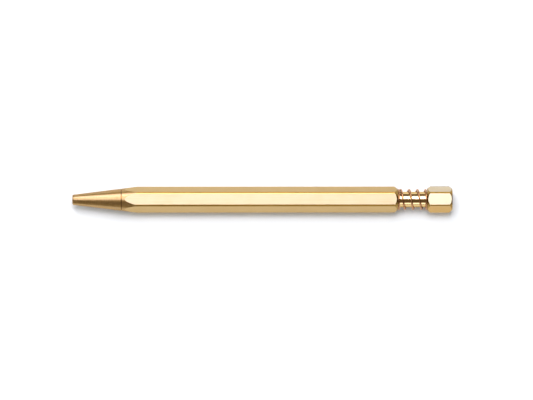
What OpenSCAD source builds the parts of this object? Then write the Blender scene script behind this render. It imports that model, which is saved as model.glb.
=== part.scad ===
// Retractable ballpoint pen with a hexagonal brass barrel, a screw-off nose cone
// and a hexagonal push knob on a bare rod, which its return spring surrounds.
// The pen lies along X on one flat of the hexagon, its tip towards -X and Z up.
// Every length along the pen is measured from the mouth of the nose cone.

/* [Pen] */
// Length from the mouth of the nose cone to the end of the knob
pen_length = 140; // [139:0.5:143]
// Width of the hexagon across its flats
across_flats = 8.5; // [8.4:0.1:9]
// Width of the hexagon across its eased corners
across_corners = 9.6; // [9.5:0.02:9.68]

/* [Nose cone] */
// Length of the nose cone up to the seam
nose_length = 18.1; // [17.5:0.1:19]
// Diameter of the nose cone at its mouth
mouth_d = 3.7; // [3.6:0.01:3.9]
// Growth of the cone's radius for each millimetre of length
taper = 0.1236; // [0.12:0.0002:0.128]
// Radius of the rounded lip at the mouth
lip_r = 0.45; // [0.3:0.05:0.5]
// Diameter of the hole that guides the nib
mouth_hole_d = 2.6; // [2.5:0.02:2.7]
// Outside diameter of the thread that holds the nose cone
thread_d = 6.9; // [6.6:0.05:6.9]
// Pitch of that thread
thread_pitch = 0.75; // [0.6:0.05:0.8]
// Length of the threaded spigot
spigot_length = 6; // [5:0.1:6.4]

/* [Barrel] */
// Length of the chamfer's side along the axis at the barrel's rear end
rear_chamfer = 1.3; // [1:0.05:1.6]
// Half angle of that chamfer
rear_chamfer_angle = 35; // [32:1:38]
// Diameter of the bore that the refill runs in
bore_d = 5.5; // [5:0.1:5.6]
// Diameter of the threaded front end and of the counterbore at the rear
counterbore_d = 7; // [7:0.02:7.1]
// Depth of the threaded front end
front_depth = 7; // [6.6:0.1:8]

/* [Knob and rod] */
// Length of the knob
knob_length = 9.25; // [9:0.05:11]
// Width of the knob across its corners, which are eased less than the barrel's
knob_across_corners = 9.7; // [9.5:0.02:9.76]
// Half angle of the chamfer at each end of the knob
knob_chamfer_angle = 36; // [34:1:40]
// Length of that chamfer along the axis
knob_chamfer = 1.15; // [1:0.05:1.5]
// Length of bare rod between the barrel and the knob
rod_gap = 10.75; // [10.3:0.05:11]
// Diameter of the rod
rod_d = 5.6; // [5.4:0.05:5.6]
// Travel of the knob when it is pressed right in
stroke = 5.5; // [5:0.1:5.6]

/* [Rod spring] */
// Thickness of the wire
wire_d = 0.65; // [0.6:0.05:0.8]
// Diameter of the coil at the middle of the wire
coil_d = 7.2; // [7.2:0.02:7.3]
// Pitch of the open coils
coil_pitch = 3.07; // [2.8:0.01:3.1]
// Turns over which the pitch opens up at each end
closing_turns = 1.1; // [1:0.05:1.15]
// Turns from the front end of the wire to where it first passes the pen's far side
far_side_turns = 0.73; // [0:0.01:1]

/* [Refill] */
// Length of the refill from the ball to the vent plug
refill_length = 106.8; // [106:0.1:107]
// Diameter of the refill's tube
tube_d = 3.2; // [3:0.05:3.2]
// Wall of the tube
tube_wall = 0.3; // [0.2:0.05:0.4]
// Diameter of the nib's shank
nib_d = 2.3; // [2.2:0.02:2.4]
// Diameter of the writing ball
ball_d = 1; // [0.8:0.05:1]
// Distance of the ball behind the mouth when the nib is drawn in
nib_recess = 1.2; // [0.8:0.1:1.6]
// Distance from the ball to the ears that hold the refill's spring
ears_at = 24; // [23:0.5:26]
// Thickness of the wire of the refill's spring
refill_wire_d = 0.4; // [0.35:0.05:0.45]
// Diameter of that spring's coil at the middle of the wire
refill_coil_d = 4.1; // [4.06:0.02:4.14]
// Pitch of that spring's open coils
refill_coil_pitch = 1.4; // [1.2:0.05:1.6]

/* [Click mechanism] */
// Height of the crowns' teeth
tooth_h = 1; // [0.8:0.05:1]
// Diameter of the rotor's and the thrust cam's bodies
cam_d = 4.4; // [4.3:0.02:4.4]
// Diameter over the rotor's fins and the thrust cam's keys
fin_d = 6.2; // [6:0.02:6.2]
// Thickness of a fin
fin_w = 0.6; // [0.5:0.05:0.65]
// Length of a fin
fin_length = 4; // [3.5:0.1:4]
// Travel after which the fins leave the sleeve's slots
latch_travel = 4.3; // [4:0.05:4.4]
// Width of a slot as an angle
slot_angle = 37; // [36:0.5:40]
// Wall of the sleeve
sleeve_wall = 0.35; // [0.3:0.05:0.4]
// Clearance all round between the rod and its bush
guide_clearance = 0.05; // [0.03:0.01:0.08]

/* [Hidden] */
$fn = 96;
// Small gap between pieces that meet, so that no two solids share any space
meet = 0.02;
// Gap between the teeth of the two crowns over the whole stroke
tooth_gap = 0.12;
// Angle that the steep back of a tooth takes up, and what the turn stops short of it
tooth_back = 2;
mesh_play = 1.5;
// Distance that a cutter runs past the face it cuts
far = 1;

brass = [0.80, 0.64, 0.33];
copper = [0.78, 0.50, 0.36];
steel = [0.70, 0.71, 0.72];
nickel = [0.76, 0.74, 0.68];
white_plastic = [0.90, 0.90, 0.87];
grey_plastic = [0.55, 0.56, 0.57];
ink_blue = [0.08, 0.10, 0.30];
grease = [0.85, 0.80, 0.62];

corner_r = across_corners / 2;
seam_r = mouth_d / 2 + taper * nose_length;
cone_end = (corner_r - mouth_d / 2) / taper;
barrel_end = pen_length - knob_length - rod_gap;
knob_front = pen_length - knob_length;
spigot_end = nose_length + spigot_length;
thread_depth = thread_pitch / 2;
spigot_core_r = thread_d / 2 - thread_depth;
thread_start = 0.7;
thread_sunk = 0.1;

nose_hole_depth = 5;
neck_bore_d = 3.8;
spring_seat = 9;
spring_chamber_d = 4.9;

tube_r = tube_d / 2;
ink_r = tube_r - tube_wall;
nib_r = nib_d / 2;
ball_r = ball_d / 2;
socket_clearance = 0.03;
socket_front = 0.3;
socket_rim = 0.12;
nib_cone_length = 2.3;
nib_visible = 10.5;
shank_length = 4;
shank_r = 0.98;
shank_room = 0.5;
ink_start = nib_visible + shank_length + shank_room;
channel_r = 0.25;
ink_end = 88;
grease_length = 4;
plug_length = 4;
plug_head = 1;
vent_r = 0.3;
ear_length = 0.8;
ear_span = 4.4;
ear_width = 1.1;

// Teeth on each crown: two for every slot of the sleeve
slots = 4;
crown_teeth = 2 * slots;
half_tooth = 180 / crown_teeth;
drop = tooth_h / 2;
refill_travel = stroke - drop;
refill_end = nib_recess + refill_length;
rotor_floor = refill_end + meet;
rotor_wall = 0.98;
rotor_root = rotor_floor + rotor_wall;
rotor_length = 7;
rotor_front = rotor_root - rotor_length;
crown_bore_d = 1.8;
crown_step = 0.1;
crown_d = cam_d - 2 * crown_step;
crown_sunk = 0.4;
// Running clearances of the rotor in the sleeve, of its fins in the slots and of the tube in its seat
rotor_clearance = 0.1;
fin_clearance = 0.05;
fin_corner_ease = 0.04;
seat_clearance = 0.1;
stop_at = rotor_root - latch_travel;
rib_r = cam_d / 2 + rotor_clearance;
slot_r = fin_d / 2 + fin_clearance;
sleeve_r = slot_r + sleeve_wall - meet;
sleeve_overrun = 1;
sleeve_front = rotor_root - fin_length - refill_travel - sleeve_overrun;
thrust_root = rotor_root + tooth_h + drop + tooth_gap;
thrust_length = 2.4;
thrust_rear = thrust_root + thrust_length;
thrust_end_gap = 0.03;
sleeve_end = thrust_rear + thrust_end_gap;
// Angles between a slot's side and a fin, and between a slot's side and a key
fin_slack = 1;
fin_play = asin(fin_w / 2 / rib_r) + fin_slack;
fin_slope = 0.8 * fin_w;
key_play = 0.7;
key_setback = 0.2;
key_sunk = 0.3;
rib_overcut = 0.2;
rod_spigot_r = 1.5;
rod_spigot_length = 1.8;
rod_end_gap = 0.1;
rod_shoulder = sleeve_end + stroke + rod_end_gap;
stud_r = 2;
stud_length = 6;
stud_room = 0.3;

// Places a piece drawn along +Z on the pen's axis, at a distance from the mouth
module along(distance) {
    translate([distance - pen_length / 2, 0, across_flats / 2])
        rotate([0, 90, 0])
            children();
}

// Hexagonal prism with a flat facing up and down once it lies along the pen
module hexagon(length) {
    rotate([0, 0, 30])
        cylinder(h = length, r = across_flats / 2 / cos(30), $fn = 6);
}

// Round bar or bore on the axis between two distances from the mouth
module round_bar(radius, from, to) {
    translate([0, 0, from])
        cylinder(h = to - from, r = radius);
}

// Solid block of a ring between two radii, over part of a turn
module sector(inner, outer, length, angle) {
    rotate_extrude(angle = angle)
        translate([inner, 0])
            square([outer - inner, length]);
}

function wheel(radius, angle, height) = [radius * cos(angle), radius * sin(angle), height];

// Ring whose upper end is a crown of saw teeth, each rising along the turn
module crown(inner, outer, base) {
    steps = 8;
    count = crown_teeth * (steps + 1);
    ramp = 360 / crown_teeth - tooth_back;
    stations = [for (tooth = [0 : crown_teeth - 1]) for (step = [0 : steps])
        [360 / crown_teeth * tooth + tooth_back + ramp * step / steps, tooth_h * step / steps]];
    points = [for (s = stations) for (corner = [
        wheel(inner, s[0], 0),
        wheel(outer, s[0], 0),
        wheel(outer, s[0], base + s[1]),
        wheel(inner, s[0], base + s[1])]) corner];
    faces = [for (i = [0 : count - 1]) for (side = [0 : 3])
        let (next = (i + 1) % count,
            a = 4 * i + side,
            b = 4 * i + (side + 1) % 4,
            c = 4 * next + (side + 1) % 4,
            d = 4 * next + side)
        for (triangle = [[a, b, c], [a, c, d]]) triangle];
    polyhedron(points = points, faces = faces);
}

rings_per_turn = 8;
wire_sides = 6;
// Gap between the end of a spring and the face that it pushes on
spring_gap = 0.05;

// Height along the axis of a coil whose pitch opens up and closes again at its ends
function coil_height(turn, turns, pitch, closing) =
    turn < closing ? pitch * turn * turn / (2 * closing)
    : turn > turns - closing
        ? pitch * (turns - closing) - pitch * pow(turns - turn, 2) / (2 * closing)
        : pitch * (turn - closing / 2);

function coil_point(turn, turns, radius, pitch, closing, first_angle) =
    wheel(radius, first_angle + 360 * turn, coil_height(turn, turns, pitch, closing));

// Middles of the wire's rings, with one straight wire thickness added at each end
function coil_path(turns, radius, pitch, closing, first_angle, wire) =
    let (count = ceil(turns * rings_per_turn),
        coil = [for (i = [0 : count])
            coil_point(turns * i / count, turns, radius, pitch, closing, first_angle)],
        last_angle = first_angle + 360 * turns,
        lead_in = coil[0] - wire * [-sin(first_angle), cos(first_angle), 0],
        lead_out = coil[count] + wire * [-sin(last_angle), cos(last_angle), 0])
    concat([lead_in], coil, [lead_out]);

function unit(v) = v / norm(v);

function path_direction(path, i) =
    unit(path[min(i + 1, len(path) - 1)] - path[max(i - 1, 0)]);

// Least clear distance between two turns of the wire, measured on its rings
function least_gap(path, wire) =
    min([for (i = [0 : len(path) - 1]) for (j = [i + 1 : 1 : len(path) - 1])
        if (j - i >= rings_per_turn - 2) norm(path[j] - path[i]) - wire]);

// Wire that runs along a path around Z as one unbroken tube
module wire_along(path, wire) {
    count = len(path);
    points = [for (i = [0 : count - 1])
        let (way = path_direction(path, i),
            outward = unit([path[i][0], path[i][1], 0]),
            side = unit(cross(way, outward)),
            up = cross(side, way))
        for (k = [0 : wire_sides - 1])
            let (turn = 360 * (k + 0.5) / wire_sides)
            path[i] + wire / 2 * (cos(turn) * up + sin(turn) * side)];
    wall = [for (i = [0 : count - 2]) for (k = [0 : wire_sides - 1])
        let (a = wire_sides * i + k,
            b = wire_sides * i + (k + 1) % wire_sides,
            c = b + wire_sides,
            d = a + wire_sides)
        for (triangle = [[a, c, b], [a, d, c]]) triangle];
    first_end = [for (k = [1 : wire_sides - 2]) [0, k, k + 1]];
    base = wire_sides * (count - 1);
    last_end = [for (k = [1 : wire_sides - 2]) [base, base + k + 1, base + k]];
    polyhedron(points = points, faces = concat(wall, first_end, last_end));
}

rod_coil_height = rod_gap - wire_d - 2 * spring_gap;
rod_coil_turns = rod_coil_height / coil_pitch + closing_turns;
rod_coil = coil_path(rod_coil_turns, coil_d / 2, coil_pitch, closing_turns,
    90 - 360 * far_side_turns, wire_d);
refill_coil_length = nib_recess + ears_at - spring_seat;
refill_coil_height = refill_coil_length - refill_wire_d - 2 * spring_gap;
refill_closing = 0.6;
refill_coil_turns = refill_coil_height / refill_coil_pitch + refill_closing;
refill_coil = coil_path(refill_coil_turns, refill_coil_d / 2, refill_coil_pitch, refill_closing, 0,
    refill_wire_d);
echo(rod_spring_least_gap_mm = least_gap(rod_coil, wire_d));
echo(refill_spring_least_gap_mm = least_gap(refill_coil, refill_wire_d));

// Hexagonal barrel, turned down to the nose's cone in front and chamfered at the rear
module barrel() {
    rear_r = corner_r - rear_chamfer * tan(rear_chamfer_angle);
    color(brass)
        along(0)
            difference() {
                intersection() {
                    rotate_extrude()
                        polygon([
                            [0, nose_length + meet],
                            [seam_r + taper * meet, nose_length + meet],
                            [corner_r, cone_end],
                            [corner_r, barrel_end - rear_chamfer],
                            [rear_r, barrel_end],
                            [0, barrel_end]]);
                    translate([0, 0, nose_length - far])
                        hexagon(barrel_end - nose_length + 2 * far);
                }
                round_bar(counterbore_d / 2, nose_length - far, nose_length + front_depth);
                round_bar(bore_d / 2, nose_length, barrel_end);
                round_bar(counterbore_d / 2, sleeve_front, barrel_end + far);
            }
}

// Bush pressed in at the rear, which guides the rod and keeps the sleeve in
module rod_bush() {
    color(brass)
        along(0)
            difference() {
                round_bar(counterbore_d / 2 - meet, sleeve_end, barrel_end);
                round_bar(rod_d / 2 + guide_clearance, sleeve_end - far, barrel_end + far);
            }
}

// Fixed sleeve of the click mechanism, with slots between ribs that end in stop teeth
module cam_sleeve() {
    color(white_plastic)
        along(0) {
            difference() {
                round_bar(sleeve_r, sleeve_front + meet, sleeve_end - meet);
                round_bar(slot_r, sleeve_front - far, sleeve_end + far);
            }
            difference() {
                translate([0, 0, sleeve_end - meet])
                    rotate([180, 0, 0])
                        crown(rib_r, slot_r + sleeve_wall / 2, sleeve_end - meet - stop_at - tooth_h);
                for (i = [0 : slots - 1])
                    rotate([0, 0, 360 / slots * i])
                        translate([0, 0, stop_at - far])
                            sector(rib_r - rib_overcut, slot_r, sleeve_end - stop_at + 2 * far, slot_angle);
            }
        }
}

// Open return spring of the knob, closed at both ends
module rod_spring() {
    color(copper)
        along(barrel_end + wire_d / 2 + spring_gap)
            wire_along(rod_coil, wire_d);
}

// Turned nose cone with the spigot that screws into the barrel
module nose_cone() {
    lip_steps = 6;
    lip_middle = mouth_d / 2 + taper * lip_r - lip_r * sqrt(1 + taper * taper);
    lip = [for (i = [0 : lip_steps])
        let (a = (90 - atan(taper)) * i / lip_steps)
        [lip_middle + lip_r * sin(a), lip_r - lip_r * cos(a)]];
    thread_turns = (spigot_length - 2 * thread_start) / thread_pitch;
    color(brass)
        along(0)
            union() {
                difference() {
                    rotate_extrude()
                        polygon(concat(
                            [[0, 0]],
                            lip,
                            [[seam_r, nose_length],
                                [spigot_core_r, nose_length],
                                [spigot_core_r, spigot_end],
                                [0, spigot_end]]));
                    round_bar(mouth_hole_d / 2, -far, spring_seat);
                    round_bar(neck_bore_d / 2, nose_hole_depth, spring_seat + far);
                    round_bar(spring_chamber_d / 2, spring_seat, spigot_end + far);
                }
                translate([0, 0, nose_length + thread_start])
                    thread(thread_turns);
            }
}

// Ridge of the nose's thread, sunk a little into the spigot
module thread(turns) {
    steps = 16;
    count = ceil(turns * steps);
    sunk = spigot_core_r - thread_sunk;
    crest = thread_d / 2;
    foot = thread_pitch * 0.4;
    top = thread_pitch * 0.1;
    points = [for (i = [0 : count])
        let (angle = 360 * i / steps, height = thread_pitch * i / steps)
        for (corner = [
            wheel(sunk, angle, height - foot),
            wheel(crest, angle, height - top),
            wheel(crest, angle, height + top),
            wheel(sunk, angle, height + foot)]) corner];
    wall = [for (i = [0 : count - 1]) for (side = [0 : 3])
        let (a = 4 * i + side,
            b = 4 * i + (side + 1) % 4)
        for (triangle = [[a, b, b + 4], [a, b + 4, a + 4]]) triangle];
    base = 4 * count;
    ends = [[0, 3, 2], [0, 2, 1], [base, base + 1, base + 2], [base, base + 2, base + 3]];
    polyhedron(points = points, faces = concat(wall, ends));
}

// Spring in the nose cone that draws the refill back
module refill_spring() {
    color(steel)
        along(spring_seat + refill_wire_d / 2 + spring_gap)
            wire_along(refill_coil, refill_wire_d);
}

// Short length of the same hexagon, chamfered at both ends, with a blind threaded hole
module knob() {
    side_r = knob_across_corners / 2;
    end_r = side_r - knob_chamfer * tan(knob_chamfer_angle);
    color(brass)
        along(knob_front)
            difference() {
                intersection() {
                    rotate_extrude()
                        polygon([
                            [0, 0],
                            [end_r, 0],
                            [side_r, knob_chamfer],
                            [side_r, knob_length - knob_chamfer],
                            [end_r, knob_length],
                            [0, knob_length]]);
                    translate([0, 0, -far])
                        hexagon(knob_length + 2 * far);
                }
                round_bar(stud_r + meet, -far, stud_length + stud_room);
            }
}

// Polished rod, stepped down inside the barrel and threaded into the knob
module push_rod() {
    color(brass)
        along(0) {
            round_bar(rod_spigot_r, thrust_rear - rod_spigot_length, thrust_rear);
            round_bar(cam_d / 2, thrust_rear, rod_shoulder);
            round_bar(rod_d / 2, rod_shoulder, knob_front - meet);
            round_bar(stud_r, knob_front - meet, knob_front + stud_length);
        }
}

// Cam on the rod's front end: keys in the slots keep it from turning
module thrust_cam() {
    color(grey_plastic)
        along(0)
            difference() {
                union() {
                    translate([0, 0, thrust_root + crown_sunk])
                        rotate([180, 0, tooth_back])
                            crown(crown_bore_d / 2, crown_d / 2, crown_sunk);
                    round_bar(cam_d / 2, thrust_root, thrust_rear - meet);
                    for (i = [0 : slots - 1])
                        rotate([0, 0, 360 / slots * i + key_play])
                            translate([0, 0, thrust_root + key_setback])
                                sector(cam_d / 2 - key_sunk, fin_d / 2,
                                    thrust_length - key_setback - meet,
                                    slot_angle - 2 * key_play);
                }
                round_bar(rod_spigot_r + meet, thrust_rear - rod_spigot_length - meet, thrust_rear + far);
            }
}

// Rotor that the crowns turn at each press: its fins run in the sleeve's slots
module index_rotor() {
    color(white_plastic)
        along(0)
            difference() {
                union() {
                    round_bar(cam_d / 2, rotor_front, rotor_root);
                    translate([0, 0, rotor_root - crown_sunk])
                        rotate([0, 0, -half_tooth - mesh_play])
                            crown(crown_bore_d / 2, crown_d / 2, crown_sunk);
                    for (i = [0 : slots - 1])
                        rotate([0, 0, 360 / slots * i + fin_play])
                            fin();
                }
                round_bar(tube_r + seat_clearance, rotor_front - far, rotor_floor);
            }
}

// One fin of the rotor, its rear end sloped like the stop teeth
module fin() {
    rear = rotor_root;
    front = rotor_root - fin_length;
    rotate([90, 0, 90])
        linear_extrude(height = fin_d / 2 - fin_corner_ease)
            polygon([
                [-fin_w / 2, front],
                [fin_w / 2, front],
                [fin_w / 2, rear],
                [-fin_w / 2, rear - fin_slope]]);
}

// Metal tube of the refill, with the ears that its spring pushes on
module refill_tube() {
    color(steel)
        along(nib_recess)
            difference() {
                union() {
                    round_bar(tube_r, nib_visible, refill_length - plug_head);
                    translate([-ear_width / 2, -ear_span / 2, ears_at])
                        cube([ear_width, ear_span, ear_length]);
                }
                round_bar(shank_r + meet, nib_visible - far, ink_start);
                round_bar(ink_r, ink_start, refill_length);
            }
}

// Nib with the ball's socket, pressed into the tube
module nib_socket() {
    color(nickel)
        along(nib_recess)
            difference() {
                rotate_extrude()
                    polygon([
                        [0, socket_front],
                        [ball_r + socket_rim, socket_front],
                        [nib_r, socket_front + nib_cone_length],
                        [nib_r, nib_visible - meet],
                        [shank_r, nib_visible - meet],
                        [shank_r, nib_visible + shank_length],
                        [0, nib_visible + shank_length]]);
                translate([0, 0, ball_r])
                    sphere(r = ball_r + socket_clearance);
                round_bar(channel_r, ball_r, nib_visible + shank_length + far);
            }
}

// Hard metal writing ball
module nib_ball() {
    color(steel)
        along(nib_recess + ball_r)
            sphere(r = ball_r);
}

// Column of ink in the tube
module refill_ink() {
    color(ink_blue)
        along(nib_recess)
            round_bar(ink_r - meet, ink_start + meet, ink_end);
}

// Plug of grease that follows the ink down the tube
module refill_grease() {
    color(grease)
        along(nib_recess)
            round_bar(ink_r - meet, ink_end + meet, ink_end + grease_length);
}

// Vented plug that closes the rear of the tube
module refill_plug() {
    color(grey_plastic)
        along(nib_recess)
            difference() {
                union() {
                    round_bar(ink_r - meet, refill_length - plug_length, refill_length - plug_head + meet);
                    round_bar(tube_r, refill_length - plug_head + meet, refill_length);
                }
                round_bar(vent_r, refill_length - plug_length - far, refill_length + far);
            }
}

barrel();
rod_bush();
cam_sleeve();
rod_spring();
nose_cone();
refill_spring();
knob();
push_rod();
thrust_cam();
index_rotor();
refill_tube();
nib_socket();
nib_ball();
refill_ink();
refill_grease();
refill_plug();
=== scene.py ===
import math

import bmesh
import bpy
from mathutils import Euler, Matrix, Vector


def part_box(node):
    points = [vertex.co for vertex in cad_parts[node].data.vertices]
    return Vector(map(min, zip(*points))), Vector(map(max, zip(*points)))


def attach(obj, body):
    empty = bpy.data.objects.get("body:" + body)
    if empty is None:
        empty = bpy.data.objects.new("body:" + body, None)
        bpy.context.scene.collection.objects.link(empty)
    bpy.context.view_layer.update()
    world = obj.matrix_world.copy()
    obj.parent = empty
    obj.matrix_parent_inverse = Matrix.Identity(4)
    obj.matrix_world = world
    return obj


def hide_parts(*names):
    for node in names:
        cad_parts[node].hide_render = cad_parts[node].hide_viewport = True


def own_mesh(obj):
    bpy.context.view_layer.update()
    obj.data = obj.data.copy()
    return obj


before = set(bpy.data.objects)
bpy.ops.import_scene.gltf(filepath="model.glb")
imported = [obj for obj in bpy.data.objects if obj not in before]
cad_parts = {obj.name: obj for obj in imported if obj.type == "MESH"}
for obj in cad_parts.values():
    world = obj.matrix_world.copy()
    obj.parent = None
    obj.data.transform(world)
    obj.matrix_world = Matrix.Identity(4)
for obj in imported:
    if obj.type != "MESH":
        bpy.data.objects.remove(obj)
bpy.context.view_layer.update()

scene = bpy.context.scene
scene.view_settings.view_transform = "Standard"

# Camera: it stands nearly straight over the pen, whose tip points to the left of the picture.
# It leans a little towards the near side, so that the near slanted facet shows wider than the far one,
# and is turned by a small part of a degree.
mm = 0.001
barrel_low, barrel_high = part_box("barrel")
axis_z = (barrel_low.z + barrel_high.z) / 2
picture_width, picture_height = 533, 400
pixel = 0.36862 * mm
pen_centre_px = (262.28, 199.61)
camera_lean, camera_roll = math.radians(2.5), math.radians(-0.04)
camera_distance = 1.6
aim = Vector((
    (picture_width / 2 - pen_centre_px[0]) * pixel,
    (pen_centre_px[1] - picture_height / 2) * pixel,
    axis_z))
camera_data = bpy.data.cameras.new("camera")
camera_data.sensor_width = 36
camera_data.lens = camera_data.sensor_width * camera_distance / (picture_width * pixel)
camera = bpy.data.objects.new("camera", camera_data)
camera_turn = Euler((camera_lean, 0, camera_roll))
camera.rotation_euler = camera_turn
camera.location = aim + camera_turn.to_matrix() @ Vector((0, 0, camera_distance))
scene.collection.objects.link(camera)
scene.camera = camera


# Table: a plain sheet, large enough to fill every view, a hair below the pen's lowest flat.
# It is matt, warm by itself and white in the cool light, with only a faint mottle.
def material_nodes(name):
    """A new material with one shader; returns it with its nodes, its links and the shader."""
    material = bpy.data.materials.new(name)
    material.use_nodes = True
    nodes = material.node_tree.nodes
    nodes.clear()
    output = nodes.new("ShaderNodeOutputMaterial")
    shader = nodes.new("ShaderNodeBsdfPrincipled")
    material.node_tree.links.new(shader.outputs["BSDF"], output.inputs["Surface"])
    return material, nodes, material.node_tree.links, shader


def noise(nodes, links, scale, detail=2.0):
    """Noise in the piece's own space; scale is a vector of features for each metre along X, Y and Z."""
    place = nodes.new("ShaderNodeTexCoord")
    stretch = nodes.new("ShaderNodeMapping")
    stretch.inputs["Scale"].default_value = scale
    texture = nodes.new("ShaderNodeTexNoise")
    texture.inputs["Scale"].default_value = 1
    texture.inputs["Detail"].default_value = detail
    links.new(place.outputs["Object"], stretch.inputs["Vector"])
    links.new(stretch.outputs["Vector"], texture.inputs["Vector"])
    return texture.outputs["Fac"]


def tones(nodes, links, share, first, second, from_low=0.3, from_high=0.7):
    """A colour that runs from one tone to another as share runs over the middle of its range."""
    ramp = nodes.new("ShaderNodeValToRGB")
    ramp.color_ramp.elements[0].position = from_low
    ramp.color_ramp.elements[0].color = (*first, 1)
    ramp.color_ramp.elements[1].position = from_high
    ramp.color_ramp.elements[1].color = (*second, 1)
    links.new(share, ramp.inputs["Fac"])
    return ramp.outputs["Color"]


table_half = 4.0
table_drop = 0.02 * mm
table_mesh = bpy.data.meshes.new("table_top")
table_mesh.from_pydata(
    [(x * table_half, y * table_half, -table_drop) for x, y in ((-1, -1), (1, -1), (1, 1), (-1, 1))],
    [], [(0, 1, 2, 3)])
table_top = bpy.data.objects.new("table_top", table_mesh)
scene.collection.objects.link(table_top)
sheet_dark, sheet_light = (0.985, 0.96, 0.84), (0.995, 0.975, 0.85)
white_sheet, nodes, links, shader = material_nodes("white_sheet")
mottle = noise(nodes, links, (60, 60, 60))
links.new(tones(nodes, links, mottle, sheet_dark, sheet_light), shader.inputs["Base Color"])
shader.inputs["Roughness"].default_value = 0.9
shader.inputs["Specular IOR Level"].default_value = 0.1
table_mesh.materials.append(white_sheet)

# Light: two soft boxes on the far side, two high ones, a faint one beyond the tip and a low one on the
# near side, all with cool daylight. The rest of the room is dim. What the metal mirrors of it is bright
# in the room's corners only, and dark towards the pen's ends and sides.
daylight = (0.98, 1.0, 1.2)


def soft_box(name, bearing, lowest, highest, width, radiance, aside=0.0):
    """A box seen from the pen between two elevations, in degrees; bearing is clockwise from +Y."""
    distance = 0.8
    middle, half = math.radians((lowest + highest) / 2), math.radians((highest - lowest) / 2)
    turn = math.radians(bearing)
    towards = Vector((
        math.sin(turn) * math.cos(middle), math.cos(turn) * math.cos(middle), math.sin(middle)))
    lamp = bpy.data.lights.new(name, "AREA")
    lamp.shape = "RECTANGLE"
    lamp.color = daylight
    lamp.size = width
    lamp.size_y = 2 * distance * math.tan(half)
    lamp.energy = radiance * math.pi * lamp.size * lamp.size_y
    box = bpy.data.objects.new(name, lamp)
    box.location = towards * distance + Vector((aside, 0, axis_z))
    box.rotation_euler = towards.to_track_quat("Z", "Y").to_euler()
    box.visible_camera = False
    scene.collection.objects.link(box)


def coordinate(nodes, links, kind, axis):
    """One coordinate of a point's place, of its normal or of a direction into the room."""
    place = nodes.new("ShaderNodeTexCoord")
    parts = nodes.new("ShaderNodeSeparateXYZ")
    links.new(place.outputs[kind], parts.inputs["Vector"])
    return parts.outputs[axis]


def worked_out(nodes, links, operation, *terms):
    """A number worked out from one or two others."""
    result = nodes.new("ShaderNodeMath")
    result.operation = operation
    for socket, term in zip(result.inputs, terms):
        links.new(term, socket)
    return result.outputs["Value"]


soft_box("far_tip_box", bearing=0, lowest=28, highest=59, width=0.28, radiance=5.4, aside=-0.22)
soft_box("far_knob_box", bearing=0, lowest=42, highest=81, width=0.24, radiance=4.4, aside=0.04)
soft_box("high_tip_box", bearing=-54, lowest=58, highest=82, width=0.45, radiance=2.8)
soft_box("high_knob_box", bearing=12, lowest=58, highest=81, width=0.42, radiance=4.8)
soft_box("tip_box", bearing=-90, lowest=34, highest=55, width=0.9, radiance=0.3)
soft_box("near_box", bearing=180, lowest=10, highest=36, width=0.4, radiance=2.1, aside=0.18)
world = bpy.data.worlds.new("room")
scene.world = world
world.use_nodes = True
nodes, links = world.node_tree.nodes, world.node_tree.links
nodes.clear()
fill_tone = (0.285, 0.325, 0.385)
wall_tone, corner_tone = (0.15, 0.11, 0.07), (0.85, 0.83, 0.8)
wall_end, corner_start = 0.27, 0.45
room_fill = nodes.new("ShaderNodeBackground")
room_fill.inputs["Color"].default_value = (*fill_tone, 1)
mirrored_room = nodes.new("ShaderNodeBackground")
crosswise = worked_out(
    nodes, links, "MULTIPLY",
    coordinate(nodes, links, "Generated", "X"), coordinate(nodes, links, "Generated", "Y"))
cornerwise = worked_out(nodes, links, "ABSOLUTE", crosswise)
room_tone = tones(nodes, links, cornerwise, wall_tone, corner_tone, wall_end, corner_start)
links.new(room_tone, mirrored_room.inputs["Color"])
ray = nodes.new("ShaderNodeLightPath")
seen = nodes.new("ShaderNodeMixShader")
links.new(ray.outputs["Is Glossy Ray"], seen.inputs["Fac"])
links.new(room_fill.outputs["Background"], seen.inputs[1])
links.new(mirrored_room.outputs["Background"], seen.inputs[2])
links.new(seen.outputs["Shader"], nodes.new("ShaderNodeOutputWorld").inputs["Surface"])


# Barrel: a length of hexagonal brass bar with eased edges, drilled through, turned to a cone in front
# and chamfered behind. Its finish is satin, brushed along the length, and the edges are rubbed smooth and
# glossier.
# Painted light: the slanted facets are tinted deeper, so the level ones keep a paler painted highlight;
# the edges carry a painted shade, and the chamfers and the seam bevel a darker painted shade.
def eased_hexagon(flat, corner, border_wear_and_shade, facet_steps=18, edge_steps=12):
    """Angle from straight up, radius and edge value of points round a hexagon with rounded edges.
    The edge value marks where the edges are glossier and carry a painted shade; it is full on the edges and
    fades from the border value at the borders of the facets."""
    side = math.radians(60)
    edge_radius = (flat / math.cos(side / 2) - corner) / (1 / math.cos(side / 2) - 1)
    half_facet = (flat - edge_radius) * math.tan(side / 2)
    edge_centre = (flat - edge_radius) / math.cos(side / 2)
    outline = []
    for facet in range(6):
        for step in range(facet_steps):
            along = half_facet * (2 * step / facet_steps - 1)
            edge_wear_and_shade = 0 if step else border_wear_and_shade
            outline.append((facet * side + math.atan2(along, flat), math.hypot(along, flat), edge_wear_and_shade))
        for step in range(edge_steps):
            turn = side * step / edge_steps
            up = edge_centre * math.cos(side / 2) + edge_radius * math.cos(turn)
            out = edge_centre * math.sin(side / 2) + edge_radius * math.sin(turn)
            edge_wear_and_shade = max(border_wear_and_shade, math.sin(math.pi * step / edge_steps))
            outline.append((facet * side + math.atan2(out, up), math.hypot(out, up), edge_wear_and_shade))
    return outline


def at(x, radius, angle):
    """A point at a distance from the pen's axis; the angle runs from straight up towards +Y."""
    return (x, radius * math.sin(angle), axis_z + radius * math.cos(angle))


def level_ring(x, radius, angles):
    """A round ring square to the pen's axis."""
    return [at(x, radius, angle) for angle in angles]


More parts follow.
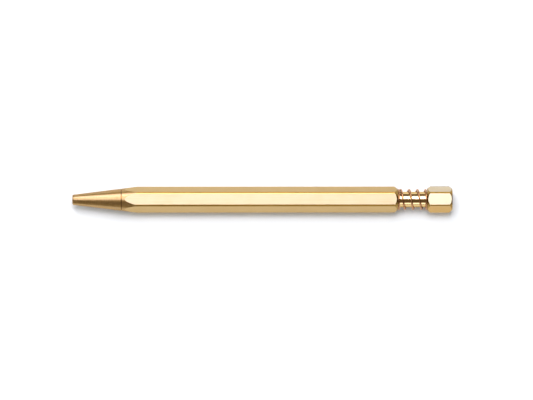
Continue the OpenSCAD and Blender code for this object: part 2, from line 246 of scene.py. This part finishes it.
def bar_rings(outline, start, stop, steps, radius_at=None, with_last=False):
    """Rings over a stretch of the bar, which keep the hexagon or take their radius from x.
    The ends are functions of a point's radius on the hexagon, because a cone cuts the corners further."""
    rings = []
    for step in range(steps + 1 if with_last else steps):
        ring = []
        for angle, radius, _ in outline:
            x = start(radius) + (stop(radius) - start(radius)) * step / steps
            ring.append(at(x, radius_at(x) if radius_at else radius, angle))
        rings.append(ring)
    return rings


def smooth_piece(name, points, faces, count, sharp_rings, edge_wear_and_shade):
    """A piece shaded smooth, apart from the edges along its sharp rings of count points.
    The edge value, one for each place in a ring, is kept with the points; it marks glossier edges with a
    painted shade."""
    mesh = bpy.data.meshes.new(name)
    mesh.from_pydata(points, [], faces)
    shell = bmesh.new()
    shell.from_mesh(mesh)
    bmesh.ops.recalc_face_normals(shell, faces=shell.faces)
    shell.to_mesh(mesh)
    shell.free()
    mesh.shade_smooth()
    creases = mesh.attributes.new("sharp_edge", "BOOLEAN", "EDGE")
    for edge in mesh.edges:
        rows = [vertex // count for vertex in edge.vertices]
        creases.data[edge.index].value = rows[0] == rows[1] and rows[0] in sharp_rings
    if edge_wear_and_shade:
        wear_and_shade_mask = mesh.attributes.new("edge_wear_and_shade", "FLOAT", "POINT")
        for index in range(len(points)):
            wear_and_shade_mask.data[index].value = edge_wear_and_shade[index % count]
    piece = bpy.data.objects.new(name, mesh)
    scene.collection.objects.link(piece)
    return piece


def ringed_piece(name, rings, sharp_rings=(), edge_wear_and_shade=None, finishes=()):
    """A closed piece skinned over rings of equally many points; the last ring joins the first.
    The strips that start at the rings in a set of finishes take the piece's next materials in turn."""
    count = len(rings[0])
    points = [point for ring in rings for point in ring]
    faces = []
    for i in range(len(rings)):
        here, after = i * count, (i + 1) % len(rings) * count
        for k in range(count):
            beside = (k + 1) % count
            faces.append((here + k, here + beside, after + beside, after + k))
    piece = smooth_piece(name, points, faces, count, sharp_rings, edge_wear_and_shade)
    for face in piece.data.polygons:
        for finish, strips in enumerate(finishes):
            if face.index // count in strips:
                face.material_index = finish + 1
    return piece


def between(nodes, links, share, low, high, from_low=0.3, from_high=0.7):
    """A number that runs from low to high as share runs over the middle of its range."""
    spread = nodes.new("ShaderNodeMapRange")
    spread.inputs["From Min"].default_value = from_low
    spread.inputs["From Max"].default_value = from_high
    spread.inputs["To Min"].default_value = low
    spread.inputs["To Max"].default_value = high
    links.new(share, spread.inputs["Value"])
    return spread.outputs["Result"]


def mixed(nodes, links, share, base, tone, blend="MIX"):
    """A colour with a share of one tone laid over it."""
    mix = nodes.new("ShaderNodeMix")
    mix.data_type = "RGBA"
    mix.blend_type = blend
    mix.inputs["B"].default_value = (*tone, 1)
    links.new(share, mix.inputs["Factor"])
    links.new(base, mix.inputs["A"])
    return mix.outputs["Result"]


def relief(nodes, links, shader, height, strength, depth):
    """A fine unevenness of the surface."""
    bump = nodes.new("ShaderNodeBump")
    bump.inputs["Strength"].default_value = strength
    bump.inputs["Distance"].default_value = depth
    links.new(height, bump.inputs["Height"])
    links.new(bump.outputs["Normal"], shader.inputs["Normal"])


tarnish_tone, tarnish_share = (0.93, 0.89, 0.80), 0.55
tarnish_grain = (160, 220, 220)
slanted_from, level_from = 0.55, 0.95
wear_and_shade_full = 0.4
edge_gloss = 0.75
lacquer_rough, lacquer_ior = 0.12, 2.0
brass_relief = 0.02 * mm


def brass(name, light, dark, rough, grain, edge=None, bump=0.05, grazing=(1, 1, 1), lacquer=0.0,
          near_side_shade=None, slanted_shade=None):
    """Brass with a grain, in features a metre along X, Y and Z, and clouds of tarnish.
    The slanted tint is a painted shade that deepens the facets that don't lie level, so the level ones keep
    a paler painted highlight;
    edge is the tone of a painted shade on the edges, where the metal is also glossier from rubbing.
    The near-side entry is a painted shade: the tone of the near side, its share, and the limits of Y
    between which it fades.
    grazing tints the light that glances off, and lacquer is the weight of a clear coat."""
    material, nodes, links, shader = material_nodes(name)
    streak = noise(nodes, links, grain, 3.0)
    cloud = noise(nodes, links, tarnish_grain, 3.0)
    colour = tones(nodes, links, streak, dark, light, 0.25, 0.75)
    clouded = between(nodes, links, cloud, 0.0, tarnish_share)
    colour = mixed(nodes, links, clouded, colour, tarnish_tone, "MULTIPLY")
    gloss = between(nodes, links, streak, rough[0], rough[1])
    # Painted shade: facets that don't lie level take the slanted tint, which leaves the level facets as a
    # paler painted highlight.
    if slanted_shade:
        level = worked_out(nodes, links, "ABSOLUTE", coordinate(nodes, links, "Normal", "Z"))
        slanted_shade_share = between(nodes, links, level, 1.0, 0.0, slanted_from, level_from)
        colour = mixed(nodes, links, slanted_shade_share, colour, slanted_shade, "MULTIPLY")
    # Painted shade along the edges, which are also made glossier as if rubbed.
    if edge:
        wear_and_shade_mask = nodes.new("ShaderNodeAttribute")
        wear_and_shade_mask.attribute_name = "edge_wear_and_shade"
        share = between(nodes, links, wear_and_shade_mask.outputs["Fac"], 0.0, 1.0, 0.0, wear_and_shade_full)
        colour = mixed(nodes, links, share, colour, edge)
        smoothed = nodes.new("ShaderNodeMix")
        smoothed.inputs["B"].default_value = rough[0] * edge_gloss
        links.new(share, smoothed.inputs["Factor"])
        links.new(gloss, smoothed.inputs["A"])
        gloss = smoothed.outputs["Result"]
    # Painted shade: the near side fades to a deeper tone.
    if near_side_shade:
        near_shade_tone, most, full_at, none_at = near_side_shade
        across = coordinate(nodes, links, "Object", "Y")
        share = between(nodes, links, across, most, 0.0, full_at, none_at)
        colour = mixed(nodes, links, share, colour, near_shade_tone)
    links.new(colour, shader.inputs["Base Color"])
    links.new(gloss, shader.inputs["Roughness"])
    shader.inputs["Metallic"].default_value = 1
    shader.inputs["Specular Tint"].default_value = (*grazing, 1)
    shader.inputs["Coat Weight"].default_value = lacquer
    shader.inputs["Coat Roughness"].default_value = lacquer_rough
    shader.inputs["Coat IOR"].default_value = lacquer_ior
    relief(nodes, links, shader, streak, bump, brass_relief)
    return material


mouth_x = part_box("nose_cone")[0].x
seam_x = barrel_low.x
barrel_end = barrel_high.x
flat_radius = (barrel_high.z - barrel_low.z) / 2
corner_radius = (barrel_high.y - barrel_low.y) / 2
mouth_radius = 1.85 * mm
taper = 0.1236
rear_chamfer = 1.3 * mm
rear_slope = math.tan(math.radians(35))
rear_radius = corner_radius - rear_chamfer * rear_slope
seam_ease = 0.14 * mm
rear_ease = 0.12 * mm
socket_radius, socket_depth = 3.5 * mm, 7 * mm
bore_radius = 2.75 * mm
pocket_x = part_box("cam_sleeve")[0].x
bar_outline = eased_hexagon(flat_radius, corner_radius, border_wear_and_shade=0.3)
bar_angles = [angle for angle, _, _ in bar_outline]


def cone_radius(x):
    """Radius of the long cone that the nose and the front of the barrel share."""
    return mouth_radius + taper * (x - mouth_x)


def cone_end(radius):
    """Where the long cone reaches a radius."""
    return mouth_x + (radius - mouth_radius) / taper


def rear_start(radius):
    """Where the rear chamfer starts at a radius."""
    return barrel_end - (radius - rear_radius) / rear_slope


def rear_chamfer_radius(x):
    """Radius of the rear chamfer at x."""
    return rear_radius + rear_slope * (barrel_end - x)


cone_steps, flat_steps, chamfer_steps = 12, 10, 5
flat_first = 1 + cone_steps
flat_last = flat_first + flat_steps
rings = [level_ring(seam_x, cone_radius(seam_x) - seam_ease, bar_angles)]
rings += bar_rings(bar_outline, lambda _: seam_x + seam_ease, cone_end, cone_steps, cone_radius)
rings += bar_rings(bar_outline, cone_end, rear_start, flat_steps)
rings += bar_rings(
    bar_outline, rear_start, lambda _: barrel_end - rear_ease, chamfer_steps, rear_chamfer_radius,
    with_last=True)
sharp_rings = {0, 1, flat_first, flat_last}
bore_profile = [
    (barrel_end, rear_radius - rear_ease / 2),
    (barrel_end, socket_radius),
    (pocket_x, socket_radius),
    (pocket_x, bore_radius),
    (seam_x + socket_depth, bore_radius),
    (seam_x + socket_depth, socket_radius),
    (seam_x + 2 * seam_ease, socket_radius),
    (seam_x, socket_radius + seam_ease)]
for x, radius in bore_profile:
    sharp_rings.add(len(rings))
    rings.append(level_ring(x, radius, bar_angles))
barrel_wear_and_shade = [edge_wear_and_shade for _, _, edge_wear_and_shade in bar_outline]
turned_strips = set(range(len(rings))) - set(range(flat_first, flat_last))
chamfer_shade_strips = {0} | set(range(flat_last, flat_last + chamfer_steps + 2))
barrel = ringed_piece("brass_barrel", rings, sharp_rings, barrel_wear_and_shade, (turned_strips, chamfer_shade_strips))
satin_light, satin_dark = (0.62, 0.495, 0.30), (0.55, 0.42, 0.238)
satin_rough = (0.38, 0.46)
# A painted shade on the slanted facets, leaving the level ones as a paler painted highlight.
satin_slanted_shade = (0.98, 0.87, 0.635)
# A painted shade along the rounded edges.
edge_painted_shade = (0.39, 0.225, 0.05)
brushed_grain = (50, 9000, 9000)
satin_brass = brass(
    "satin_brass", satin_light, satin_dark, satin_rough, brushed_grain, edge_painted_shade, slanted_shade=satin_slanted_shade)
turned_light, turned_dark = (0.50, 0.315, 0.113), (0.39, 0.232, 0.07)
turned_grazing = (0.7, 0.5, 0.25)
turned_grain = (2500, 900, 900)
turned_brass = brass(
    "turned_brass", turned_light, turned_dark, (0.34, 0.44), turned_grain, bump=0.03,
    grazing=turned_grazing, lacquer=0.4)
# The chamfers and seam bevels are painted a dark brown, a painted shade for the dark room that they mirror.
chamfer_shade_light, chamfer_shade_dark = (0.40, 0.25, 0.075), (0.31, 0.185, 0.05)
chamfer_shade_brass = brass("chamfer_shade_brass", chamfer_shade_light, chamfer_shade_dark, (0.16, 0.24), turned_grain, bump=0.02)
barrel.data.materials.append(satin_brass)
barrel.data.materials.append(turned_brass)
barrel.data.materials.append(chamfer_shade_brass)
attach(barrel, "barrel")
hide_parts("barrel")


# Bush: a brass ring pressed into the rear of the barrel, which guides the rod. Only its end face shows,
# between the rod and the barrel, and it is turned and polished.
def refinish(node, material):
    """Gives a piece that keeps its solid another material."""
    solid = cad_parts[node].data
    solid.materials.clear()
    solid.materials.append(material)


rod_light, rod_dark = (0.78, 0.57, 0.28), (0.70, 0.49, 0.22)
bush_brass = brass("bush_brass", rod_light, rod_dark, (0.18, 0.28), turned_grain)
refinish("rod_bush", bush_brass)


# Click mechanism: the sleeve and the rotor are moulded in white acetal, and the thrust cam in grey.
# All three sit inside the barrel, where the rotor climbs the sleeve's teeth at each press.
def grained(nodes, links, shader, share, light, dark, rough, spread):
    """A tone and a roughness that vary together."""
    links.new(tones(nodes, links, share, dark, light), shader.inputs["Base Color"])
    links.new(between(nodes, links, share, rough, rough + spread), shader.inputs["Roughness"])


def acetal(name, light, dark, rough):
    """Moulded plastic with a fine speck."""
    material, nodes, links, shader = material_nodes(name)
    speck = noise(nodes, links, (2500, 2500, 2500), 4.0)
    grained(nodes, links, shader, speck, light, dark, rough, 0.15)
    relief(nodes, links, shader, speck, strength=0.15, depth=0.02 * mm)
    return material


white_acetal = acetal("white_acetal", (0.80, 0.80, 0.76), (0.72, 0.72, 0.67), 0.40)
grey_acetal = acetal("grey_acetal", (0.27, 0.28, 0.29), (0.22, 0.23, 0.24), 0.42)
refinish("cam_sleeve", white_acetal)
refinish("index_rotor", white_acetal)
refinish("thrust_cam", grey_acetal)


# Push rod: round brass rod, polished, stepped down inside the barrel to carry the thrust cam
# and threaded into the knob at its other end.
def turned_piece(name, profile, columns=96):
    """A piece turned on the pen's axis, with crisp edges; the profile is a closed list of x and radius."""
    angles = [2 * math.pi * k / columns for k in range(columns)]
    rings = [level_ring(x, radius, angles) for x, radius in profile]
    return ringed_piece(name, rings, set(range(len(profile))))


def eased(profile, ease):
    """The profile with each corner cut by a small bevel, up to 0.4 of the way to the next corner."""
    out = []
    for i, here in enumerate(profile):
        before, after = profile[i - 1], profile[(i + 1) % len(profile)]
        for other in (before, after):
            gap = math.hypot(other[0] - here[0], other[1] - here[1])
            share = min(ease / gap, 0.4)
            out.append((here[0] + (other[0] - here[0]) * share, here[1] + (other[1] - here[1]) * share))
    return out


core_radius = 0.01 * mm
rod_low, rod_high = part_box("push_rod")
knob_low, knob_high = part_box("knob")
thrust_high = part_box("thrust_cam")[1]
rod_radius = (rod_high.y - rod_low.y) / 2
neck_radius = 2.2 * mm
spigot_radius = 1.5 * mm
stud_radius = 2 * mm
shoulder_x = barrel_end - 1.35 * mm
rod_ease = 0.08 * mm
rod_profile = [
    (rod_low.x, core_radius),
    (rod_low.x, spigot_radius),
    (thrust_high.x, spigot_radius),
    (thrust_high.x, neck_radius),
    (shoulder_x, neck_radius),
    (shoulder_x, rod_radius),
    (knob_low.x, rod_radius),
    (knob_low.x, stud_radius),
    (rod_high.x, stud_radius),
    (rod_high.x, core_radius)]
rod = turned_piece("push_rod_bar", eased(rod_profile, rod_ease))
polished_grain = (900, 7000, 7000)
polished_brass = brass(
    "polished_brass", rod_light, rod_dark, (0.10, 0.17), polished_grain, bump=0.02, grazing=turned_grazing)
rod.data.materials.append(polished_brass)
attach(rod, "plunger")
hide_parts("push_rod")


# Rod spring: hard copper-coloured wire wound right-handed round the rod, its end turns closed
# against the barrel and the knob. Pressing the knob shortens it.
def wound_wire(name, wire_radius, coil_radius, height_at, first_turn, last_turn, steps=48, sides=16):
    """One unbroken tube along a right-handed coil; height_at gives x for a number of turns."""
    def centre(turn):
        return Vector(at(height_at(turn), coil_radius, -2 * math.pi * turn))

    nearby = 0.002
    count = math.ceil((last_turn - first_turn) * steps)
    points = []
    for i in range(count + 1):
        turn = first_turn + (last_turn - first_turn) * i / count
        way = (centre(turn + nearby) - centre(turn - nearby)).normalized()
        middle = centre(turn)
        outward = Vector((0, middle.y, middle.z - axis_z)).normalized()
        aside = way.cross(outward).normalized()
        outward = aside.cross(way)
        for k in range(sides):
            angle = 2 * math.pi * k / sides
            points.append(middle + wire_radius * (math.cos(angle) * outward + math.sin(angle) * aside))
    faces = [
        (i * sides + k, i * sides + (k + 1) % sides, (i + 1) * sides + (k + 1) % sides, (i + 1) * sides + k)
        for i in range(count) for k in range(sides)]
    faces.append(tuple(range(sides)))
    faces.append(tuple(count * sides + k for k in reversed(range(sides))))
    return smooth_piece(name, points, faces, sides, {0, count}, None)


def closing_coil(start_x, pitch, open_at, close_at):
    """Height of a coil that lies flat, opens to its pitch at one turn and closes again at another."""
    ramp = 0.6

    def eased_in(turn, middle):
        share = min(max((turn - middle + ramp / 2) / ramp, 0), 1)
        rise = ramp * (share ** 3 - share ** 4 / 2)
        return rise + max(turn - middle - ramp / 2, 0)

    return lambda turn: start_x + pitch * (eased_in(turn, open_at) - eased_in(turn, close_at))


def drawn_wire(name, light, dark, rough):
    """Hard metal wire with fine flecks from the die."""
    material, nodes, links, shader = material_nodes(name)
    fleck = noise(nodes, links, (2200, 2200, 2200), 3.0)
    grained(nodes, links, shader, fleck, light, dark, rough, 0.10)
    shader.inputs["Metallic"].default_value = 1
    relief(nodes, links, shader, fleck, strength=0.08, depth=0.01 * mm)
    return material


wire_radius = 0.33 * mm
rod_coil_radius = 3.6 * mm
rod_coil_pitch = 3.074 * mm
end_clearance = 0.01 * mm
first_strand = barrel_end + wire_radius + end_clearance
last_strand = knob_low.x - wire_radius - end_clearance
opens_at = 0.535
closes_at = opens_at + (last_strand - first_strand) / rod_coil_pitch
first_turn, last_turn = -0.22, closes_at + 0.76
rod_coil = closing_coil(first_strand, rod_coil_pitch, opens_at, closes_at)
spring = wound_wire("rod_spring_wire", wire_radius, rod_coil_radius, rod_coil, first_turn, last_turn)
copper_wire = drawn_wire("copper_wire", (0.58, 0.31, 0.15), (0.44, 0.215, 0.095), 0.20)
spring.data.materials.append(copper_wire)
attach(spring, "barrel")
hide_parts("rod_spring")
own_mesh(spring)

# Knob: a short length of the same hexagonal bar, chamfered at both ends on the lathe and brushed like the
# barrel, with a blind hole in front for the rod's stud. Its near facet is painted a deeper gold, a painted
# shade; its slanted facets, edges and chamfers carry painted shade as on the barrel.
knob_corner_radius = (knob_high.y - knob_low.y) / 2
knob_outline = eased_hexagon(flat_radius, knob_corner_radius, border_wear_and_shade=0.6)
knob_angles = [angle for angle, _, _ in knob_outline]
knob_chamfer = 1.15 * mm
knob_slope = math.tan(math.radians(36))
knob_end_radius = knob_corner_radius - knob_chamfer * knob_slope
knob_ease = 0.1 * mm
stud_hole_x = rod_high.x + 0.3 * mm
stud_hole_radius = stud_radius + 0.02 * mm


def knob_front_end(radius):
    """Where the knob's front chamfer ends at a radius."""
    return knob_low.x + (radius - knob_end_radius) / knob_slope


def knob_rear_start(radius):
    """Where the knob's rear chamfer starts at a radius."""
    return knob_high.x - (radius - knob_end_radius) / knob_slope


def knob_chamfer_radius(x):
    """Radius of the nearer of the knob's two chamfers at x."""
    return knob_end_radius + knob_slope * min(x - knob_low.x, knob_high.x - x)


knob_flat_steps = 4
flat_first = 1 + chamfer_steps
flat_last = flat_first + knob_flat_steps
rings = [level_ring(knob_low.x, knob_end_radius, knob_angles)]
rings += bar_rings(
    knob_outline, lambda _: knob_low.x + knob_ease, knob_front_end, chamfer_steps, knob_chamfer_radius)
rings += bar_rings(knob_outline, knob_front_end, knob_rear_start, knob_flat_steps)
rings += bar_rings(
    knob_outline, knob_rear_start, lambda _: knob_high.x - knob_ease, chamfer_steps, knob_chamfer_radius,
    with_last=True)
sharp_rings = {0, 1, flat_first, flat_last}
knob_profile = [
    (knob_high.x, knob_end_radius),
    (knob_high.x, core_radius),
    (stud_hole_x, core_radius),
    (stud_hole_x, stud_hole_radius),
    (knob_low.x, stud_hole_radius)]
for x, radius in knob_profile:
    sharp_rings.add(len(rings))
    rings.append(level_ring(x, radius, knob_angles))
turned_strips = set(range(len(rings))) - set(range(flat_first, flat_last))
knob_wear_and_shade = [edge_wear_and_shade for _, _, edge_wear_and_shade in knob_outline]
# The knob's turned strips, its chamfers, end faces and hole, take the dark chamfer brass, a painted shade.
knob = ringed_piece("brass_knob", rings, sharp_rings, knob_wear_and_shade, (turned_strips,))
knob_light, knob_dark = (0.71, 0.61, 0.41), (0.64, 0.54, 0.35)
# Painted shade on the knob's slanted facets.
knob_slanted_shade = (0.98, 0.96, 0.995)
# Painted shade along the knob's edges.
knob_edge_painted_shade = (0.22, 0.125, 0.018)
# Painted shade: the knob's near facet is made a deeper gold.
near_painted_shade, near_shade_share = (0.605, 0.365, 0.105), 0.9
near_shade_full, near_shade_none = -2.9 * mm, -2.0 * mm
knob_brass = brass(
    "knob_brass", knob_light, knob_dark, satin_rough, brushed_grain, knob_edge_painted_shade, slanted_shade=knob_slanted_shade,
    near_side_shade=(near_painted_shade, near_shade_share, near_shade_full, near_shade_none))
knob.data.materials.append(knob_brass)
knob.data.materials.append(chamfer_shade_brass)
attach(knob, "plunger")
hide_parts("knob")


# Refill: a thin steel tube filled with dark blue paste, which a plug of grease follows, and closed by
# a vented plug. It is out of sight in the barrel, apart from the nib.
def smooth_metal(name, light, dark, rough, grain):
    """Metal with only a fine grain, in features a metre along X, Y and Z."""
    material, nodes, links, shader = material_nodes(name)
    line = noise(nodes, links, grain, 3.0)
    grained(nodes, links, shader, line, light, dark, rough, 0.12)
    shader.inputs["Metallic"].default_value = 1
    return material


def wet_paste(name, light, dark, rough):
    """A glossy paste with faint swirls."""
    material, nodes, links, shader = material_nodes(name)
    swirl = noise(nodes, links, (500, 500, 500), 3.0)
    grained(nodes, links, shader, swirl, light, dark, rough, 0.1)
    return material


refill_steel = smooth_metal("refill_steel", (0.50, 0.51, 0.53), (0.42, 0.43, 0.45), 0.25, (60, 5000, 5000))
hard_metal = smooth_metal("hard_metal", (0.32, 0.33, 0.34), (0.26, 0.27, 0.28), 0.12, (4000, 4000, 4000))
ink_paste = wet_paste("ink_paste", (0.010, 0.014, 0.085), (0.006, 0.009, 0.060), 0.12)
follower_grease = wet_paste("follower_grease", (0.70, 0.61, 0.36), (0.64, 0.55, 0.31), 0.15)
refinish("refill_tube", refill_steel)
refinish("nib_ball", hard_metal)
refinish("refill_ink", ink_paste)
refinish("refill_grease", follower_grease)
refinish("refill_plug", grey_acetal)

# Nib: turned from nickel silver, its front drawn down to a stepped cone and closed round the ball.
# The shank is pressed into the tube, and the ink runs down a fine channel.
nib_low, nib_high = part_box("nib_socket")
ball_low, ball_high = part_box("nib_ball")
ball_radius = (ball_high.y - ball_low.y) / 2
ball_x = (ball_low.x + ball_high.x) / 2
nib_radius = (nib_high.y - nib_low.y) / 2
nib_cone = 2.3 * mm
nib_shoulder = nib_low.x + 10.18 * mm
shank_radius = 0.98 * mm
channel_radius = 0.25 * mm
rim_radius = ball_radius + 0.12 * mm
rolled_edge = 0.05 * mm
step_start, step_end = nib_low.x + 0.6 * nib_cone, nib_low.x + 0.62 * nib_cone
step_foot, step_head = rim_radius + 0.30 * mm, rim_radius + 0.36 * mm
cone_ease = 0.1 * mm
groove_x = nib_low.x + nib_cone + 1.6 * mm
groove_depth = 0.12 * mm
seat_radius = ball_radius + 0.03 * mm
seat_start = math.acos((nib_low.x - ball_x) / seat_radius)
seat_end = math.asin(channel_radius / seat_radius)
seat_steps = 8
seat = []
for step in range(seat_steps + 1):
    turn = seat_end + (seat_start - seat_end) * step / seat_steps
    seat.append((ball_x + seat_radius * math.cos(turn), seat_radius * math.sin(turn)))
nib_profile = [
    (nib_low.x, rim_radius - 0.4 * rolled_edge),
    (nib_low.x + rolled_edge, rim_radius + 0.6 * rolled_edge),
    (step_start, step_foot),
    (step_end, step_head),
    (nib_low.x + nib_cone, nib_radius - 0.2 * cone_ease),
    (nib_low.x + nib_cone + cone_ease, nib_radius),
    (groove_x, nib_radius),
    (groove_x + groove_depth, nib_radius - groove_depth),
    (groove_x + 2 * groove_depth, nib_radius - groove_depth),
    (groove_x + 3 * groove_depth, nib_radius),
    (nib_shoulder, nib_radius),
    (nib_shoulder, shank_radius),
    (nib_high.x, shank_radius),
    (nib_high.x, channel_radius)] + seat
nib = turned_piece("nib", nib_profile)
nickel_silver = smooth_metal(
    "nickel_silver", (0.60, 0.57, 0.50), (0.52, 0.49, 0.42), 0.18, (9000, 500, 500))
nib.data.materials.append(nickel_silver)
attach(nib, "refill")
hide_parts("nib_socket")

# Refill spring: fine steel wire in the nose cone, which draws the refill back when the knob comes up.
# It stands on the step in the cone and pushes on the ears of the tube.
fine_wire_radius = 0.2 * mm
fine_coil_radius = 2.05 * mm
fine_pitch = 1.4 * mm
fine_low, fine_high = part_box("refill_spring")
fine_length = fine_high.x - fine_low.x
fine_opens = 0.6
fine_closes = fine_opens + (fine_length - 2 * fine_wire_radius) / fine_pitch
fine_coil = closing_coil(fine_low.x + fine_wire_radius, fine_pitch, fine_opens, fine_closes)
fine_spring = wound_wire(
    "refill_spring_wire", fine_wire_radius, fine_coil_radius, fine_coil, 0, fine_closes + fine_opens,
    sides=10)
spring_steel = drawn_wire("spring_steel", (0.46, 0.47, 0.49), (0.38, 0.39, 0.41), 0.22)
fine_spring.data.materials.append(spring_steel)
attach(fine_spring, "spring")
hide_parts("refill_spring")
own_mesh(fine_spring)

# Nose cone: turned brass, with a rounded lip at the mouth and fine tool marks round it. A threaded
# spigot behind the seam screws it into the barrel, and it can be taken off to change the refill.
nose_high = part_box("nose_cone")[1]
lip_radius = 0.45 * mm
lip_middle = mouth_radius + taper * lip_radius - lip_radius * math.hypot(1, taper)
lip_turn = math.pi / 2 - math.atan(taper)
mouth_hole = 1.3 * mm
mouth_ease = 0.1 * mm
neck_x, neck_bore = mouth_x + 5 * mm, 1.9 * mm
step_x, chamber_radius = mouth_x + 9 * mm, 2.45 * mm
nose_end = seam_x - 0.02 * mm
thread_radius, thread_depth = 3.45 * mm, 0.375 * mm
thread_pitch = 0.75 * mm
thread_first, thread_last = nose_end + 0.6 * mm, nose_high.x - 0.5 * mm
thread_foot = thread_radius - thread_depth
ridge_top, ridge_slope = 1.35, 4.0
spigot_ease = 0.1 * mm
lip_steps, cone_rows, thread_rows = 8, 16, 110
nose_columns = 96
nose_angles = [2 * math.pi * k / nose_columns for k in range(nose_columns)]


def thread_ring(x):
    """A ring of the spigot, where a right-handed ridge rises and dies out at both ends."""
    ring = []
    fade = min(max(min(x - thread_first, thread_last - x) / thread_pitch, 0), 1)
    for angle in nose_angles:
        phase = (x / thread_pitch + angle / (2 * math.pi)) % 1
        ridge = min(max(ridge_top - ridge_slope * abs(phase - 0.5), 0), 1)
        ring.append(at(x, thread_foot + thread_depth * ridge * fade, angle))
    return ring


rings = [
    level_ring(mouth_x + mouth_ease, mouth_hole, nose_angles),
    level_ring(mouth_x, mouth_hole + mouth_ease, nose_angles)]
sharp_rings = {0, 1}
for step in range(lip_steps + 1):
    turn = lip_turn * step / lip_steps
    lip_x = mouth_x + lip_radius - lip_radius * math.cos(turn)
    rings.append(level_ring(lip_x, lip_middle + lip_radius * math.sin(turn), nose_angles))
cone_start = mouth_x + lip_radius - lip_radius * math.cos(lip_turn)
for step in range(1, cone_rows + 1):
    x = cone_start + (nose_end - seam_ease - cone_start) * step / cone_rows
    rings.append(level_ring(x, cone_radius(x), nose_angles))
seam_ring = len(rings) - 1
sharp_rings.update((seam_ring, seam_ring + 1, seam_ring + 2))
rings.append(level_ring(nose_end, cone_radius(nose_end) - seam_ease, nose_angles))
rings.append(level_ring(nose_end, thread_foot, nose_angles))
for step in range(1, thread_rows):
    rings.append(thread_ring(nose_end + (nose_high.x - nose_end) * step / thread_rows))
chamber_profile = [
    (nose_high.x, thread_foot - spigot_ease),
    (nose_high.x, chamber_radius),
    (step_x, chamber_radius),
    (step_x, neck_bore),
    (neck_x, neck_bore),
    (neck_x, mouth_hole)]
for x, radius in chamber_profile:
    sharp_rings.add(len(rings))
    rings.append(level_ring(x, radius, nose_angles))
# The nose's seam bevel takes the dark chamfer brass, a painted shade.
nose = ringed_piece("nose_cone_shell", rings, sharp_rings, finishes=({seam_ring},))
nose.data.materials.append(turned_brass)
nose.data.materials.append(chamfer_shade_brass)
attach(nose, "nose")
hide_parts("nose_cone")
